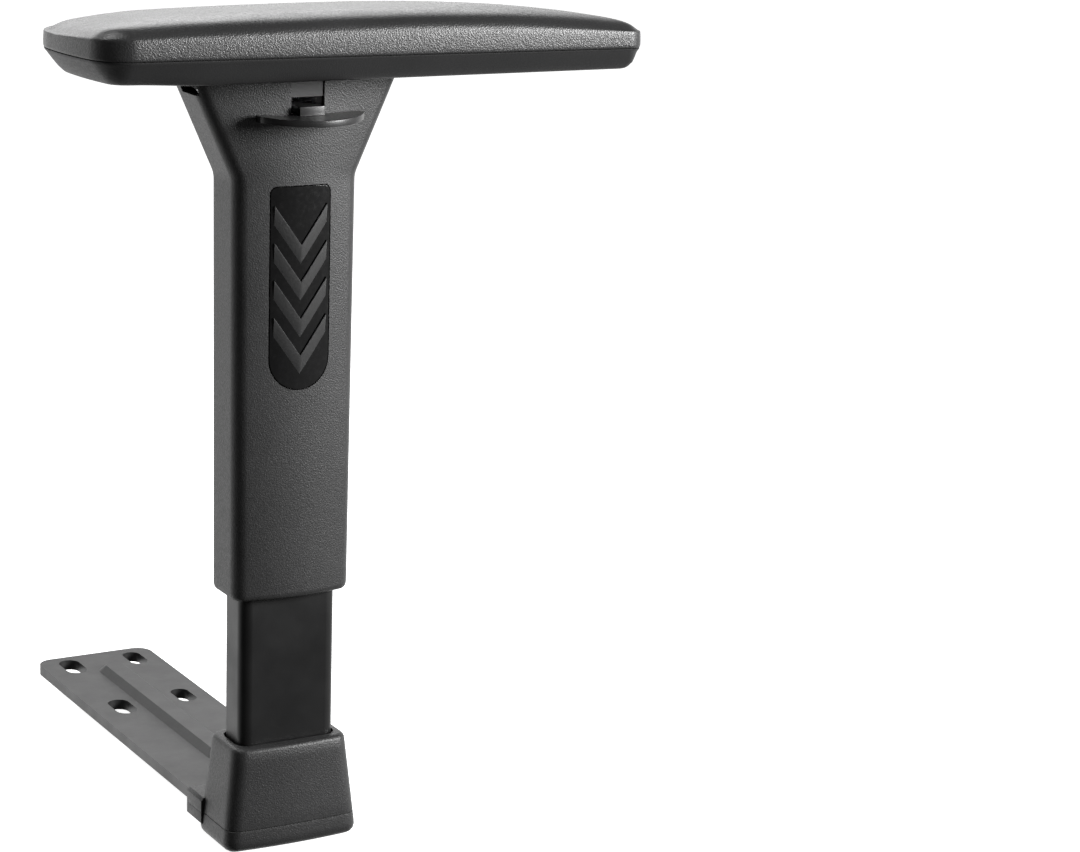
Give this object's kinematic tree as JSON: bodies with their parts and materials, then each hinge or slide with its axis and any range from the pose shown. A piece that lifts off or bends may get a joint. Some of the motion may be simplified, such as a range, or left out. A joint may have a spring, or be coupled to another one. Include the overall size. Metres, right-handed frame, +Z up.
{
  "type": "height-adjustable chair armrest",
  "caption": "Chair armrest with a soft padded top on a flared sleeve that slides on a flat upright and locks with a finger lever, on a slotted seat bracket.",
  "frame": {"origin": "on the upright tube's axis, level with the seat bracket's top face", "axes": "+X along the pad towards its square end, +Y along the seat bracket towards its free end, +Z up the upright"},
  "size_m": [0.2563, 0.2735, 0.372],
  "materials": {
    "bracket_paint": "semi-gloss dark grey powder coat",
    "tube_paint": "satin black powder coat",
    "black_plastic": "fine grained moulded black",
    "natural_nylon": "smooth, unpigmented",
    "bush_plastic": "smooth black",
    "gloss_black": "polished black",
    "strip_plastic": "fine grained dark grey",
    "grey_plate": "satin grey",
    "zinc_steel": "zinc plated",
    "spring_steel": "drawn wire",
    "lever_plastic": "satin moulded black",
    "pad_base_plastic": "satin moulded black",
    "plywood": "bare plywood",
    "cushion_cover": "grained black synthetic leather over foam"
  },
  "bodies": {
    "upright": {"bracket_plate": "bracket_paint", "upright_tube": "tube_paint", "weld_upper": "bracket_paint", "weld_lower": "bracket_paint", "tube_plug": "black_plastic", "tube_collar": "natural_nylon", "foot_cover": "black_plastic", "foot_cap": "black_plastic", "foot_cap_screws": "zinc_steel"},
    "carriage": {"sleeve": "black_plastic", "sleeve_bush": "bush_plastic", "inlay_panel": "gloss_black", "chevron_strips": "strip_plastic", "lock_carrier": "natural_nylon", "slot_plate": "grey_plate", "carrier_screws": "zinc_steel", "lever_pivot": "zinc_steel", "pad_base": "pad_base_plastic", "pad_board": "plywood", "pad_cushion": "cushion_cover", "tee_nuts": "zinc_steel", "pad_screws": "zinc_steel", "pad_washers": "zinc_steel"},
    "lever": {"lever": "lever_plastic"},
    "rod": {"push_rod": "zinc_steel", "rod_spring": "spring_steel"},
    "latch": {"latch": "zinc_steel"}
  },
  "joints": [
    {"name": "height_slide", "type": "slide", "parent": "upright", "child": "carriage", "axis": [0, 0, 1], "range_m": [-0.05, 0]},
    {"name": "lever_lift", "type": "hinge", "parent": "carriage", "child": "lever", "pos_m": [0.0026, -0.0085, 0.313], "axis": [-1, 0, 0], "range_deg": [0, 10], "stiffness_Nm_per_rad": 0.6, "springref_deg": -8.59},
    {"name": "rod_push", "type": "slide", "parent": "carriage", "child": "rod", "axis": [0, 0, -1], "range_m": [0, 0.002], "deforming": ["rod_spring"]},
    {"name": "latch_release", "type": "slide", "parent": "carriage", "child": "latch", "axis": [0, -1, 0], "range_m": [0, 0.002]}
  ],
  "couplings": [
    {"joint": "rod_push", "follows": "lever_lift", "m_per_rad": 0.0114},
    {"joint": "latch_release", "follows": "lever_lift", "m_per_rad": 0.0114}
  ]
}
